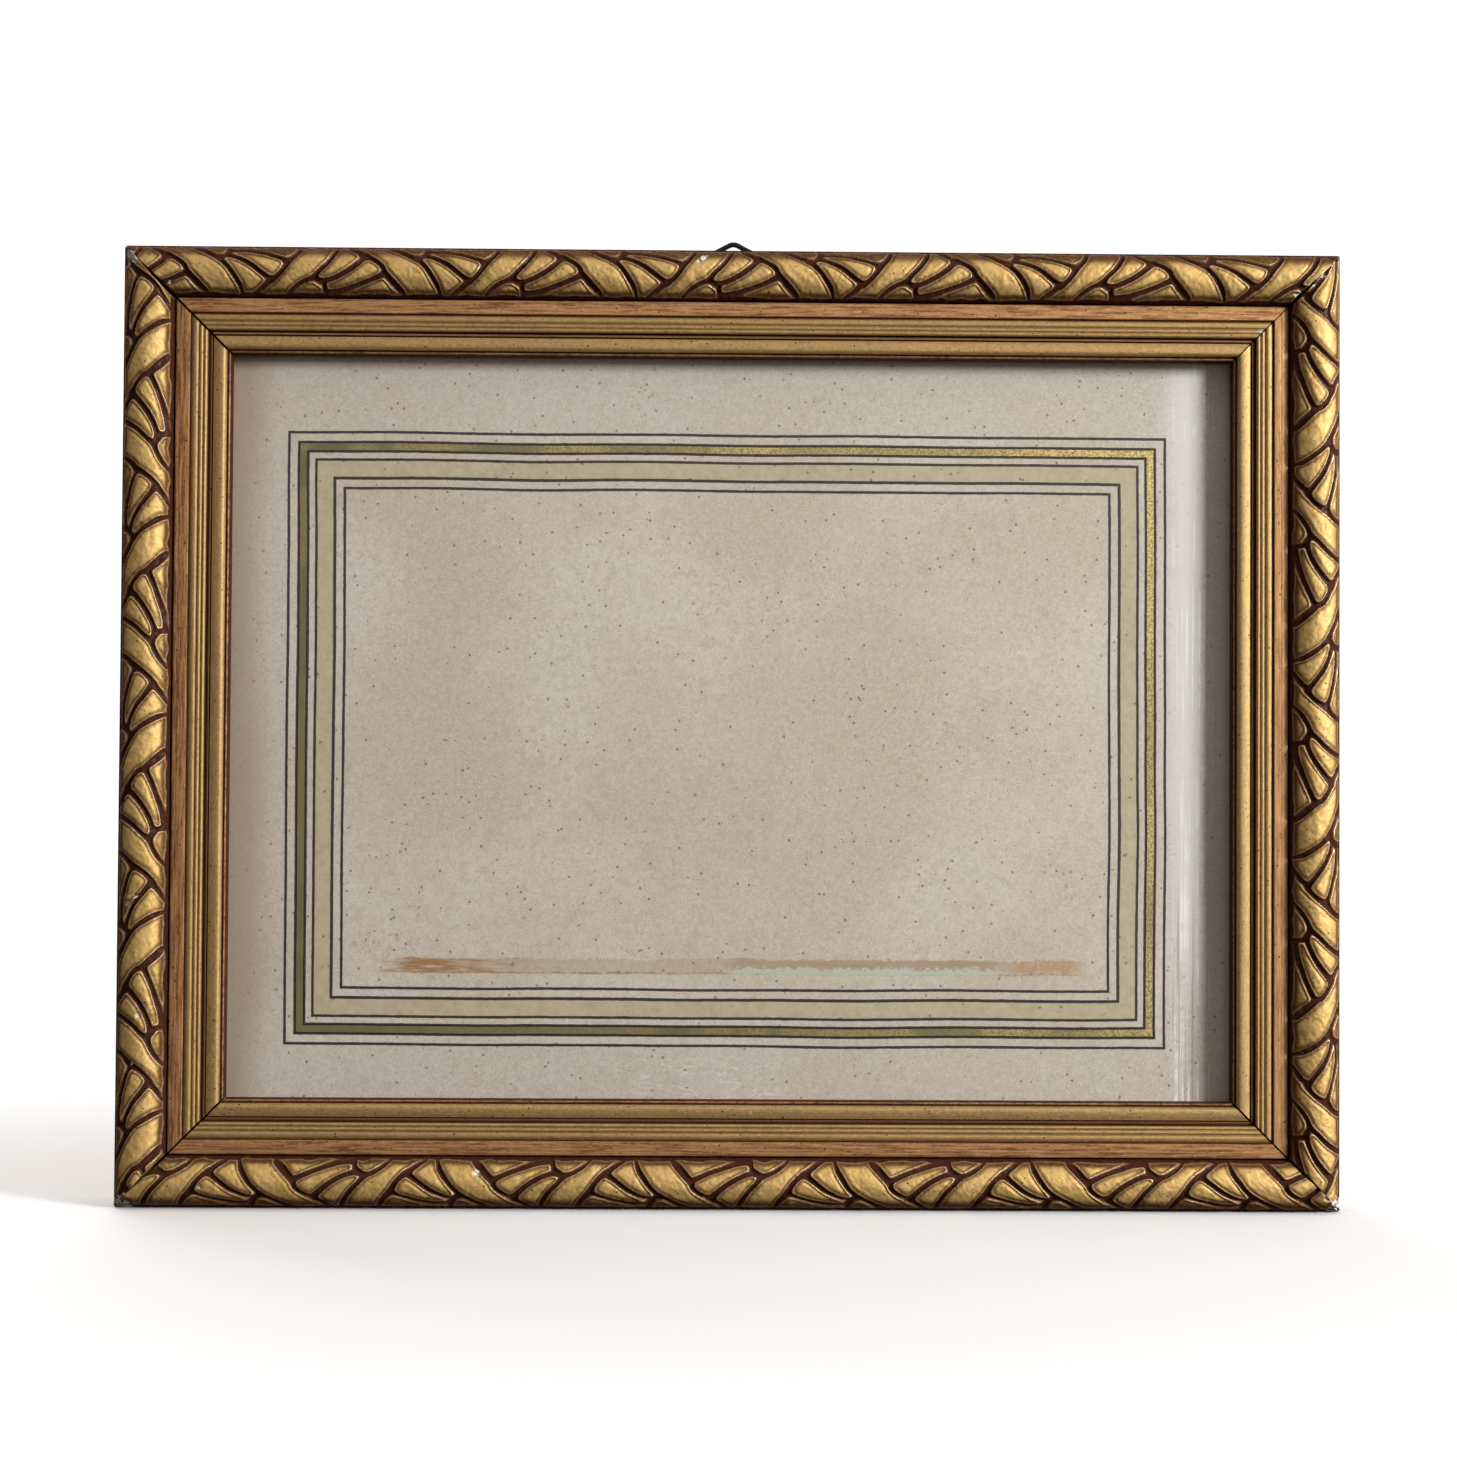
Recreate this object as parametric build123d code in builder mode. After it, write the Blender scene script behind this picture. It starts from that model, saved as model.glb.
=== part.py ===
from build123d import *
import os

# An upright landscape picture frame in gilt wood, glazed for an 18 x 24 cm work, with
# a card, a packing sheet and a backing board held in its rebate by brads, and a
# hinged wire ring on the back of its top rail. Millimetres.
# +X runs to the right along the frame, +Y back to the wall, +Z up.
# The origin is the nail seat: the underside of the ring's top, in the ring's plane.

# --- Frame and moulding ---
GLASS_FORMAT_WIDTH = 240.0        # the standard 18 x 24 cm format
GLASS_FORMAT_HEIGHT = 180.0
MOULDING_WIDTH = 25.0
REBATE_WIDTH = 5.0
REBATE_DEPTH = 9.0
MITRE_GAP = 0.2                   # an old joint, a little open
FRAME_WIDTH = GLASS_FORMAT_WIDTH + 2 * (MOULDING_WIDTH - REBATE_WIDTH)
FRAME_HEIGHT = GLASS_FORMAT_HEIGHT + 2 * (MOULDING_WIDTH - REBATE_WIDTH)

# Moulding section: t runs in from the outer edge, h runs forward from the back face.
TORUS_RADIUS = 5.95               # the ornamented half round along the outer edge
TORUS_CENTRE_H = 13.05
TORUS_END_T = 11.5
QUIRK_DEPTH = 0.7                 # the sharp sunk lines between members
FILLET_T = (12.2, 15.2)
FILLET_H = (14.7, 14.5)
REED_SPANS = ((15.6, 17.5), (17.7, 19.2))
REED_FOOT_H = 14.1
REED_RISE = 0.6
GROOVE_T = (19.4, 20.4)
GROOVE_H = 13.0
BAND_T = (20.6, 23.3)             # the plain band round the sight opening
BAND_FOOT_H = 13.4
BAND_RISE = 0.35
SIGHT_EDGE_H = 11.2
SIGHT_ROUND_MID = (24.5, 12.6)

# --- What lies in the rebate, from the front ---
GLASS_THICKNESS = 2.0
CARD_THICKNESS = 1.2
PACKING_THICKNESS = 1.0
BOARD_THICKNESS = 3.0
GLASS_PLAY = 1.5                  # total play of the glass in its rebate
SHEET_PLAY = 2.0                  # total play of card, packing and board

# --- Brads that hold the board ---
BRAD_DIAMETER = 1.2
BRAD_IN_WOOD = 8.0
BRAD_SHOWING = 8.0
NAIL_HOLE_CLEARANCE = 0.05        # on the radius
BRAD_STATIONS = {"top": (-80.0, 0.0, 80.0), "right": (-45.0, 45.0),
                 "bottom": (-80.0, 0.0, 80.0), "left": (-45.0, 45.0)}

# --- Nails across the mitres ---
MITRE_NAIL_DIAMETER = 1.4
MITRE_NAIL_HEAD_DIAMETER = 2.6
MITRE_NAIL_HEAD_THICKNESS = 0.8
MITRE_NAIL_LENGTH = 25.0
MITRE_NAIL_T = 8.0                # from the edge that the nail runs along
MITRE_NAIL_SUNK = 0.3
NAIL_H_FROM_ENDS = 8.5            # nails driven in from the left and right sides
NAIL_H_FROM_EDGES = 4.5           # nails driven in from the top and bottom

# --- Hanger: a hinged wire ring on a folded plate ---
WIRE_RADIUS = 0.6
RING_HALF_BASE = 16.0
RING_RISE = 8.5                   # base bar to apex, along the wire's centre line
RING_APEX_RADIUS = 2.2
RING_CORNER_RADIUS = 1.6
RING_TOP_ABOVE_FRAME = 5.0
PLATE_THICKNESS = 0.75
PLATE_WIDTH = 14.0
PLATE_DROP = 15.0                 # below the hinge axis
PLATE_CORNER_RADIUS = 3.0
KNUCKLE_WIDTH = 10.0
KNUCKLE_CLEARANCE = 0.08          # running clearance on the wire's radius
KNUCKLE_SLIT = 0.3
TACK_DIAMETER = 1.3
TACK_HEAD_DIAMETER = 3.8
TACK_HEAD_THICKNESS = 1.0
TACK_LENGTH = 10.0
TACK_X = 3.6
TACK_DROP = 12.0

# --- Places that follow from those ---
flank_slope = (RING_RISE ** 2 + RING_HALF_BASE ** 2) ** 0.5 / RING_HALF_BASE
apex_cut = RING_APEX_RADIUS * (flank_slope - 1)      # rounding lowers the apex
hinge_z = WIRE_RADIUS + apex_cut - RING_RISE
frame_top = 2 * WIRE_RADIUS - RING_TOP_ABOVE_FRAME
frame_bottom = frame_top - FRAME_HEIGHT
frame_middle = frame_top - FRAME_HEIGHT / 2
half_width = FRAME_WIDTH / 2
knuckle_bore = WIRE_RADIUS + KNUCKLE_CLEARANCE
knuckle_radius = knuckle_bore + PLATE_THICKNESS
frame_back = -knuckle_radius                         # y of the rails' back faces

FORWARD = Vector(0, -1, 0)
UP = Vector(0, 0, 1)
RIGHT = Vector(1, 0, 0)

# Each rail starts at a corner, runs clockwise as seen from the front, and has an
# inward direction across its width.
RAILS = {
    "top": (Vector(-half_width, frame_back, frame_top), RIGHT, -UP, FRAME_WIDTH),
    "right": (Vector(half_width, frame_back, frame_top), -UP, -RIGHT, FRAME_HEIGHT),
    "bottom": (Vector(half_width, frame_back, frame_bottom), -RIGHT, UP, FRAME_WIDTH),
    "left": (Vector(-half_width, frame_back, frame_bottom), UP, RIGHT, FRAME_HEIGHT),
}
# Each corner: its point, and the directions inward along its level and upright rails.
CORNERS = {
    "tl": (Vector(-half_width, frame_back, frame_top), RIGHT, -UP),
    "tr": (Vector(half_width, frame_back, frame_top), -RIGHT, -UP),
    "br": (Vector(half_width, frame_back, frame_bottom), -RIGHT, UP),
    "bl": (Vector(-half_width, frame_back, frame_bottom), RIGHT, UP),
}


def moulding_section():
    """The closed outline of the moulding's section: X is t and Y is h."""
    peak = (TORUS_RADIUS, TORUS_CENTRE_H + TORUS_RADIUS)
    fall = (TORUS_RADIUS ** 2 - (TORUS_END_T - TORUS_RADIUS) ** 2) ** 0.5
    torus_end = (TORUS_END_T, TORUS_CENTRE_H + fall)
    with BuildLine() as outline:
        Line((0, 0), (0, TORUS_CENTRE_H))
        ThreePointArc((0, TORUS_CENTRE_H), peak, torus_end)
        quirk = ((TORUS_END_T + FILLET_T[0]) / 2, FILLET_H[0] - QUIRK_DEPTH)
        fillet_start = (FILLET_T[0], FILLET_H[0])
        fillet_end = (FILLET_T[1], FILLET_H[1])
        Polyline(torus_end, quirk, fillet_start, fillet_end)
        last = fillet_end
        for start, end in REED_SPANS:
            middle = ((start + end) / 2, REED_FOOT_H + REED_RISE)
            between = ((last[0] + start) / 2, REED_FOOT_H - QUIRK_DEPTH / 2)
            Polyline(last, between, (start, REED_FOOT_H))
            ThreePointArc((start, REED_FOOT_H), middle, (end, REED_FOOT_H))
            last = (end, REED_FOOT_H)
        band_start = (BAND_T[0], BAND_FOOT_H)
        band_end = (BAND_T[1], BAND_FOOT_H)
        band_middle = (sum(BAND_T) / 2, BAND_FOOT_H + BAND_RISE)
        Polyline(last, (GROOVE_T[0], GROOVE_H), (GROOVE_T[1], GROOVE_H), band_start)
        ThreePointArc(band_start, band_middle, band_end)
        sight_edge = (MOULDING_WIDTH, SIGHT_EDGE_H)
        ThreePointArc(band_end, SIGHT_ROUND_MID, sight_edge)
        rebate_wall_t = MOULDING_WIDTH - REBATE_WIDTH
        Polyline(sight_edge, (MOULDING_WIDTH, REBATE_DEPTH),
                 (rebate_wall_t, REBATE_DEPTH), (rebate_wall_t, 0), (0, 0))
    return outline.edges()


def brad_plane(rail, station):
    """The plane at a brad's inner end, facing away from the wood it is driven into."""
    corner, along, inward, length = RAILS[rail]
    sheets = GLASS_THICKNESS + CARD_THICKNESS + PACKING_THICKNESS + BOARD_THICKNESS
    brad_h = REBATE_DEPTH - sheets - BRAD_DIAMETER / 2
    tip_t = MOULDING_WIDTH - REBATE_WIDTH + BRAD_SHOWING
    origin = corner + along * (length / 2 + station) + inward * tip_t + FORWARD * brad_h
    return Plane(origin=origin, z_dir=inward)


def mitre_nail_planes(corner_name):
    """Planes where a corner's two nails enter the wood, facing out of it."""
    corner, level, upright = CORNERS[corner_name]
    from_end = corner + upright * MITRE_NAIL_T + FORWARD * NAIL_H_FROM_ENDS
    from_edge = corner + level * MITRE_NAIL_T + FORWARD * NAIL_H_FROM_EDGES
    return (Plane(origin=from_end, z_dir=-level), Plane(origin=from_edge, z_dir=-upright))


def tack_plane(side):
    """The plane under a tack's head, on the hanger plate, facing back to the wall."""
    origin = (side * TACK_X, frame_back + PLATE_THICKNESS, hinge_z - TACK_DROP)
    return Plane(origin=origin, x_dir=RIGHT, z_dir=-FORWARD)


os.makedirs("parts", exist_ok=True)

# --- The four mitred rails ---
for rail_name, (corner, along, inward, length) in RAILS.items():
    with BuildPart() as rail:
        far_end = corner + along * length
        with BuildSketch(Plane(origin=far_end, x_dir=inward, z_dir=-along)):
            make_face(moulding_section())
        extrude(amount=length)
        for end, away in ((corner, along), (far_end, -along)):
            into_rail = (away - inward).normalized()
            mitre_at = end + into_rail * (MITRE_GAP / 2)
            split(bisect_by=Plane(origin=mitre_at, z_dir=into_rail), keep=Keep.TOP)
        with Locations(*[brad_plane(rail_name, x) for x in BRAD_STATIONS[rail_name]]):
            Hole(BRAD_DIAMETER / 2 + NAIL_HOLE_CLEARANCE, BRAD_SHOWING + BRAD_IN_WOOD)
        for corner_name in CORNERS:
            with Locations(*mitre_nail_planes(corner_name)):
                CounterBoreHole(MITRE_NAIL_DIAMETER / 2 + NAIL_HOLE_CLEARANCE,
                                MITRE_NAIL_HEAD_DIAMETER / 2 + NAIL_HOLE_CLEARANCE,
                                MITRE_NAIL_SUNK + MITRE_NAIL_HEAD_THICKNESS,
                                MITRE_NAIL_SUNK + MITRE_NAIL_LENGTH)
        if rail_name == "top":
            with Locations(tack_plane(-1), tack_plane(1)):
                Hole(TACK_DIAMETER / 2 + NAIL_HOLE_CLEARANCE, TACK_LENGTH)
    rail.part.label = f"{rail_name}_rail"
    export_step(rail.part, f"parts/{rail_name}_rail.step")

# --- Glass, card, packing and backing board, stacked back from the rebate floor ---
SHEETS = (("glass_pane", GLASS_THICKNESS, GLASS_PLAY),
          ("mount_card", CARD_THICKNESS, SHEET_PLAY),
          ("packing_board", PACKING_THICKNESS, SHEET_PLAY),
          ("backing_board", BOARD_THICKNESS, SHEET_PLAY))
sheet_front = frame_back - REBATE_DEPTH
for sheet_name, thickness, play in SHEETS:
    with BuildPart() as sheet:
        front_centre = (0, sheet_front, frame_middle)
        with BuildSketch(Plane(origin=front_centre, x_dir=-RIGHT, z_dir=-FORWARD)):
            Rectangle(GLASS_FORMAT_WIDTH - play, GLASS_FORMAT_HEIGHT - play)
        extrude(amount=thickness)
    sheet.part.label = sheet_name
    export_step(sheet.part, f"parts/{sheet_name}.step")
    sheet_front += thickness

FROM_TOP = (Align.CENTER, Align.CENTER, Align.MAX)

# --- Brads, one node of separate wires to each rail ---
for rail_name, stations in BRAD_STATIONS.items():
    with BuildPart() as brads:
        with Locations(*[brad_plane(rail_name, station) for station in stations]):
            Cylinder(BRAD_DIAMETER / 2, BRAD_SHOWING + BRAD_IN_WOOD, align=FROM_TOP)
    brads.part.label = f"brads_{rail_name}"
    export_step(brads.part, f"parts/brads_{rail_name}.step")

# --- Nails across each mitre, two to a corner ---
for corner_name in CORNERS:
    with BuildPart() as mitre_nails:
        heads = [plane.offset(-MITRE_NAIL_SUNK) for plane in mitre_nail_planes(corner_name)]
        with Locations(*heads):
            Cylinder(MITRE_NAIL_DIAMETER / 2, MITRE_NAIL_LENGTH, align=FROM_TOP)
            Cylinder(MITRE_NAIL_HEAD_DIAMETER / 2, MITRE_NAIL_HEAD_THICKNESS,
                     align=FROM_TOP)
    mitre_nails.part.label = f"mitre_nails_{corner_name}"
    export_step(mitre_nails.part, f"parts/mitre_nails_{corner_name}.step")

# --- Hanger plate: one strip folded round the ring's base bar ---
hinge_section = Plane(origin=(0, 0, hinge_z), x_dir=-FORWARD, z_dir=RIGHT)
with BuildPart() as hanger_plate:
    with BuildSketch(hinge_section) as fold:
        Circle(knuckle_radius)
        with Locations((PLATE_THICKNESS / 2 - knuckle_radius, -PLATE_DROP / 2)):
            Rectangle(PLATE_THICKNESS, PLATE_DROP)
        Circle(knuckle_bore, mode=Mode.SUBTRACT)
        with Locations((PLATE_THICKNESS - knuckle_radius, -knuckle_radius)):
            Rectangle(knuckle_radius, 2 * KNUCKLE_SLIT, align=(Align.MIN, Align.CENTER),
                      mode=Mode.SUBTRACT)
    extrude(amount=PLATE_WIDTH / 2, both=True)
    notch = (PLATE_WIDTH - KNUCKLE_WIDTH) / 2
    for side in (-1, 1):
        with Locations((side * (PLATE_WIDTH - notch) / 2, 0, hinge_z)):
            Box(notch, 3 * knuckle_radius, 3 * knuckle_radius, mode=Mode.SUBTRACT)
    lower_corners = hanger_plate.edges().filter_by(Axis.Y).group_by(Axis.Z)[0]
    fillet(lower_corners, PLATE_CORNER_RADIUS)
    with Locations(tack_plane(-1), tack_plane(1)):
        Hole(TACK_DIAMETER / 2 + NAIL_HOLE_CLEARANCE, 2 * PLATE_THICKNESS)
hanger_plate.part.label = "hanger_plate"
export_step(hanger_plate.part, "parts/hanger_plate.step")

# --- Hanger ring: one wire bent to a low triangle, its base bar in the knuckle ---
with BuildPart() as hanger_ring:
    base_left = (-RING_HALF_BASE, 0, hinge_z)
    base_right = (RING_HALF_BASE, 0, hinge_z)
    apex = (0, 0, hinge_z + RING_RISE)
    radii = (RING_CORNER_RADIUS, RING_CORNER_RADIUS, RING_APEX_RADIUS)
    with BuildLine() as wire:
        FilletPolyline(base_left, base_right, apex, radius=radii, close=True)
    with BuildSketch(Plane(origin=wire.line @ 0, z_dir=wire.line % 0)):
        Circle(WIRE_RADIUS)
    sweep()
hanger_ring.part.label = "hanger_ring"
export_step(hanger_ring.part, "parts/hanger_ring.step")

# --- Round-headed tacks that hold the plate ---
for tack_name, side in (("left", -1), ("right", 1)):
    seat = tack_plane(side)
    crown = (0, TACK_HEAD_THICKNESS)
    rim = (TACK_HEAD_DIAMETER / 2, 0)
    shank = TACK_DIAMETER / 2
    with BuildPart() as tack:
        with BuildSketch(Plane(origin=seat.origin, x_dir=RIGHT, z_dir=UP)):
            with BuildLine():
                TangentArc(crown, rim, tangent=(1, 0))
                Polyline(rim, (shank, 0), (shank, TACK_DIAMETER - TACK_LENGTH),
                         (0, -TACK_LENGTH), crown)
            make_face()
        revolve(axis=Axis(seat.origin, seat.z_dir))
    tack.part.label = f"hanger_tack_{tack_name}"
    export_step(tack.part, f"parts/hanger_tack_{tack_name}.step")
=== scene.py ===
import math
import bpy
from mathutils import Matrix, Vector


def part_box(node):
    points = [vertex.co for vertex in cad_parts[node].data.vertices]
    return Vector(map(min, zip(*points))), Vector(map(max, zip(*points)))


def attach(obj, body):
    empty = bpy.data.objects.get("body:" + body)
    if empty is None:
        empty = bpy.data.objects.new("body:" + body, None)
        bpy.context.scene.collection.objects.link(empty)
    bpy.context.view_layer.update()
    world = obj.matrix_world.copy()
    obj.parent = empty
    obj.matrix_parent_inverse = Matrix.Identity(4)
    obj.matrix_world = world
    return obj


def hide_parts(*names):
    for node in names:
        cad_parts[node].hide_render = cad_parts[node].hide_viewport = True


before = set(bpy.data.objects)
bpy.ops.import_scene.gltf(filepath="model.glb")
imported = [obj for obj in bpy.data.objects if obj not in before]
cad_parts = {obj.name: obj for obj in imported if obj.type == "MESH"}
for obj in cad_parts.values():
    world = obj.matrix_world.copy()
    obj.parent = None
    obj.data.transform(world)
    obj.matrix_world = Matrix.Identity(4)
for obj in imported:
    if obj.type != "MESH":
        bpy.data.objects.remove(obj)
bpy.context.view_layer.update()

from types import SimpleNamespace

import bmesh
import bpy
import numpy as np
from mathutils import Euler, Vector

# A gilt picture frame hung by a wire ring: relief moulding, glass, ruled mount card.
# Lengths below are millimetres in the frame's own terms: s runs along a rail, clockwise
# from its corner as seen from the front, t runs in from the outer edge, and h runs
# forward from the back face.
MM = 0.001

# --- The moulding's section ---
MOULDING_WIDTH = 25.0
REBATE_WALL_T = 20.0
REBATE_FLOOR_H = 9.0
TORUS_RADIUS = 5.95
TORUS_CENTRE_H = 13.05
ORNAMENT_HALF_WIDTH = 6.15
ORNAMENT_END_T = 12.2
ORNAMENT_SEAT_H = 12.7
ORNAMENT_COLUMNS = 76
ORNAMENT_ROW_STEP = 0.245
BODY_ROW_STEP = 1.1
SHARP_ANGLE = math.radians(38)
SLAB_SHARP_ANGLE = math.radians(40)
# The order of the materials on a plain rail body, and the ornament's slot for its ends.
GILT_SLOT, BACK_SLOT, SIDE_SLOT = 0, 1, 2
ORNAMENT_END_SLOT = 1

# --- The recesses of the nails across the mitres, in the outer sides ---
NAIL_RECESS_RADIUS = 1.35
NAIL_RECESS_DEPTH = 1.1
NAIL_FROM_CORNER = 8.0
NAIL_HEIGHT = {"top": 4.5, "right": 8.5, "bottom": 4.5, "left": 8.5}

# --- The running leaf ornament ---
REPEAT = 45.0
REPEAT_START = 36.0
RUN_OFFSET = {"top": 0.0, "right": 400.0, "bottom": 800.0, "left": 1200.0}
RAIL_PHASE = {"top": 1.5, "right": 22.8, "bottom": 0.0, "left": -3.9}
CHANNEL_DEPTH = 1.15
# Grime and painted shade along the outer edge, as its strength and how far in it reaches, and how
# much copper tone the fillet has on each rail.
EDGE_GRIME_AND_SHADE = {"top": (1.0, 4.0), "right": (0.42, 2.7), "bottom": (1.0, 3.6), "left": (0.62, 2.8)}
FILLET_COPPER = {"top": 1.0, "right": 0.62, "bottom": 1.0, "left": 1.0}
FIELD_STEP = 0.06
JUNCTION_ROUNDING = 0.30

# Sunk channels between the leaves over one repeat: points of (s, t, width).
CHANNELS = (
    # the rising ribbon's lower right edge
    ((48.4, -0.3, 1.0), (47.0, 2.5, 1.0), (45.6, 4.6, 0.95), (44.0, 6.4, 0.9),
     (42.5, 8.2, 1.0), (40.5, 9.1, 0.9), (38.5, 10.3, 0.8), (36.5, 11.7, 0.35)),
    # a stub that parts the small hump from the lower fan
    ((42.6, 8.5, 0.9), (44.0, 9.2, 1.0), (44.8, 10.2, 0.9), (44.9, 11.7, 0.5)),
    # between the lower fan's two lobes
    ((43.9, 9.2, 1.0), (46.5, 8.6, 1.0), (49.5, 7.0, 1.1), (52.0, 5.0, 1.2),
     (54.2, 2.7, 1.4)),
    # under the lower fan's second lobe
    ((45.3, 11.4, 0.7), (48.8, 11.0, 0.9), (52.0, 10.1, 0.95), (55.0, 9.0, 1.0),
     (58.3, 7.4, 1.2)),
    # the falling ribbon's left edge
    ((50.0, 0.3, 0.8), (52.5, 1.7, 1.0), (54.3, 2.7, 1.1), (56.3, 3.7, 1.0),
     (58.0, 5.2, 1.0), (58.7, 6.8, 1.1), (60.0, 8.6, 1.5), (61.4, 10.2, 1.5),
     (62.8, 11.3, 0.9)),
    # the falling ribbon's right edge
    ((58.8, 0.1, 0.8), (61.8, 1.3, 0.9), (64.0, 2.4, 1.0), (66.0, 3.5, 1.0),
     (67.9, 5.4, 0.9), (69.3, 7.6, 1.0), (70.5, 9.8, 1.0), (71.1, 11.5, 0.6)),
    # a stub over the upper fan
    ((68.2, -0.3, 0.9), (67.9, 1.4, 0.9), (67.0, 2.5, 1.0), (65.9, 3.0, 1.2)),
    # between the upper fan's two lobes
    ((67.6, 2.6, 0.8), (70.2, 3.3, 0.9), (73.0, 4.8, 1.0), (75.5, 6.9, 1.0),
     (77.9, 8.9, 1.2)),
    # over the upper fan
    ((68.3, 1.3, 0.7), (72.0, 1.35, 0.75), (76.0, 2.1, 0.8), (79.5, 3.2, 0.8),
     (81.4, 4.0, 1.1)),
    # the rising ribbon's upper left edge
    ((85.1, -0.3, 0.9), (83.6, 2.2, 1.1), (82.1, 3.8, 1.4), (81.3, 5.2, 1.2),
     (80.5, 6.6, 1.0), (79.2, 8.1, 1.0), (77.5, 9.3, 1.1), (75.8, 10.6, 0.9),
     (73.6, 11.7, 0.35)),
)


# --- The frame's places ---
rail_left, rail_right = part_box("left_rail"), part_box("right_rail")
rail_top, rail_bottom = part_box("top_rail"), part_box("bottom_rail")
LEFT, RIGHT = rail_left[0].x / MM, rail_right[1].x / MM
TOP, BOTTOM = rail_top[1].z / MM, rail_bottom[0].z / MM
BACK_Y = rail_top[1].y / MM
WIDTH, HEIGHT = RIGHT - LEFT, TOP - BOTTOM
CENTRE_Z = (TOP + BOTTOM) / 2
X_AXIS = np.array((1.0, 0.0, 0.0))
Z_AXIS = np.array((0.0, 0.0, 1.0))
FORWARD = np.array((0.0, -1.0, 0.0))

# Each rail: its first corner, its run, the way in across its width, and its length.
RAILS = {
    "top": (np.array((LEFT, BACK_Y, TOP)), X_AXIS, -Z_AXIS, WIDTH),
    "right": (np.array((RIGHT, BACK_Y, TOP)), -Z_AXIS, -X_AXIS, HEIGHT),
    "bottom": (np.array((RIGHT, BACK_Y, BOTTOM)), -X_AXIS, Z_AXIS, WIDTH),
    "left": (np.array((LEFT, BACK_Y, BOTTOM)), Z_AXIS, X_AXIS, HEIGHT),
}
# Half the open mitre at each rail's start and end: at the outer edge and at the sight.
MITRE_GAP = {"top": ((0.22, 0.28), (0.1, 0.14)), "right": ((0.1, 0.14), (0.14, 0.24)),
             "bottom": ((0.14, 0.24), (0.14, 0.28)), "left": ((0.14, 0.28), (0.22, 0.28))}


# --- Small helpers ---
def smoothstep(low, high, value):
    x = np.clip((value - low) / (high - low), 0.0, 1.0)
    return x * x * (3 - 2 * x)


def value_noise(seed, x, y):
    """Smooth noise from -1 to 1, one random value to each unit square's corner."""
    size = 256
    table = np.random.default_rng(seed).uniform(-1, 1, (size, size))
    x0, y0 = np.floor(x).astype(int), np.floor(y).astype(int)
    fx, fy = smoothstep(0, 1, x - x0), smoothstep(0, 1, y - y0)
    rows = [table[(x0 + i) % size, (y0 + j) % size] for j in (0, 1) for i in (0, 1)]
    low = rows[0] + (rows[1] - rows[0]) * fx
    high = rows[2] + (rows[3] - rows[2]) * fx
    return low + (high - low) * fy


def catmull_rom(points, steps=5):
    """A smooth run of points through the given ones."""
    p = np.array(points, float)
    p = np.vstack((2 * p[0] - p[1], p, 2 * p[-1] - p[-2]))
    run = []
    for i in range(1, len(p) - 2):
        for u in np.arange(steps) / steps:
            a = 2 * p[i]
            b = p[i + 1] - p[i - 1]
            c = 2 * p[i - 1] - 5 * p[i] + 4 * p[i + 1] - p[i + 2]
            d = -p[i - 1] + 3 * p[i] - 3 * p[i + 1] + p[i + 2]
            run.append((a + b * u + c * u * u + d * u ** 3) / 2)
    run.append(p[-2])
    return np.array(run)


def add_object(name, verts, faces, smooth=True, sharp_angle=None):
    mesh = bpy.data.meshes.new(name)
    mesh.from_pydata([tuple(v) for v in verts], [], faces)
    mesh.validate()
    mesh.polygons.foreach_set("use_smooth", [smooth] * len(mesh.polygons))
    if sharp_angle:
        mesh.set_sharp_from_angle(angle=sharp_angle)
    obj = bpy.data.objects.new(name, mesh)
    bpy.context.scene.collection.objects.link(obj)
    return obj


def add_attributes(obj, **attributes):
    """Numbers or vectors at an object's vertices, for its material to read."""
    for name, values in attributes.items():
        values = np.asarray(values, np.float32)
        kind, field = ("FLOAT", "value") if values.ndim == 1 else ("FLOAT_VECTOR", "vector")
        layer = obj.data.attributes.new(name, kind, "POINT")
        layer.data.foreach_set(field, values.ravel())


def read_places(obj):
    places = np.zeros(len(obj.data.vertices) * 3)
    obj.data.vertices.foreach_get("co", places)
    return places.reshape(-1, 3)


def write_places(obj, places):
    obj.data.vertices.foreach_set("co", places.ravel())
    obj.data.update()


# --- The relief ---
def channel_field():
    """Distance from the nearest channel's edge over one repeat, negative inside it."""
    s = REPEAT_START + np.arange(0, REPEAT + FIELD_STEP, FIELD_STEP)
    t = np.arange(-0.5, 12.5, FIELD_STEP)
    grid = np.stack(np.meshgrid(s, t, indexing="ij"), -1).reshape(-1, 2)
    total = np.zeros(len(grid))
    for channel in CHANNELS:
        run = catmull_rom(channel)
        nearest = np.full(len(grid), 9.0)
        for shift in (-REPEAT, 0.0, REPEAT):
            for a, b in zip(run[:-1], run[1:]):
                start = a[:2] + (shift, 0)
                span = b[:2] - a[:2]
                if start[0] < s[0] - 3 or start[0] > s[-1] + 3:
                    continue
                rel = grid - start
                u = np.clip(rel @ span / max(span @ span, 1e-9), 0, 1)
                gap = np.hypot(*(rel - u[:, None] * span).T)
                nearest = np.minimum(nearest, gap - (a[2] + (b[2] - a[2]) * u) / 2)
        total += np.exp(-nearest / JUNCTION_ROUNDING)
    field = -JUNCTION_ROUNDING * np.log(total + 1e-30)
    return np.clip(field, -1.0, 4.0).reshape(len(s), len(t))


def sample_field(field, s, t):
    """Reads the repeat's field at any place along a rail."""
    x = np.mod(s - REPEAT_START, REPEAT) / FIELD_STEP
    y = np.clip((t + 0.5) / FIELD_STEP, 0, field.shape[1] - 1.001)
    x0 = np.clip(np.floor(x).astype(int), 0, field.shape[0] - 2)
    y0 = np.floor(y).astype(int)
    fx, fy = x - x0, y - y0
    low = field[x0, y0] * (1 - fx) + field[x0 + 1, y0] * fx
    high = field[x0, y0 + 1] * (1 - fx) + field[x0 + 1, y0 + 1] * fx
    return low * (1 - fy) + high * fy


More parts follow.
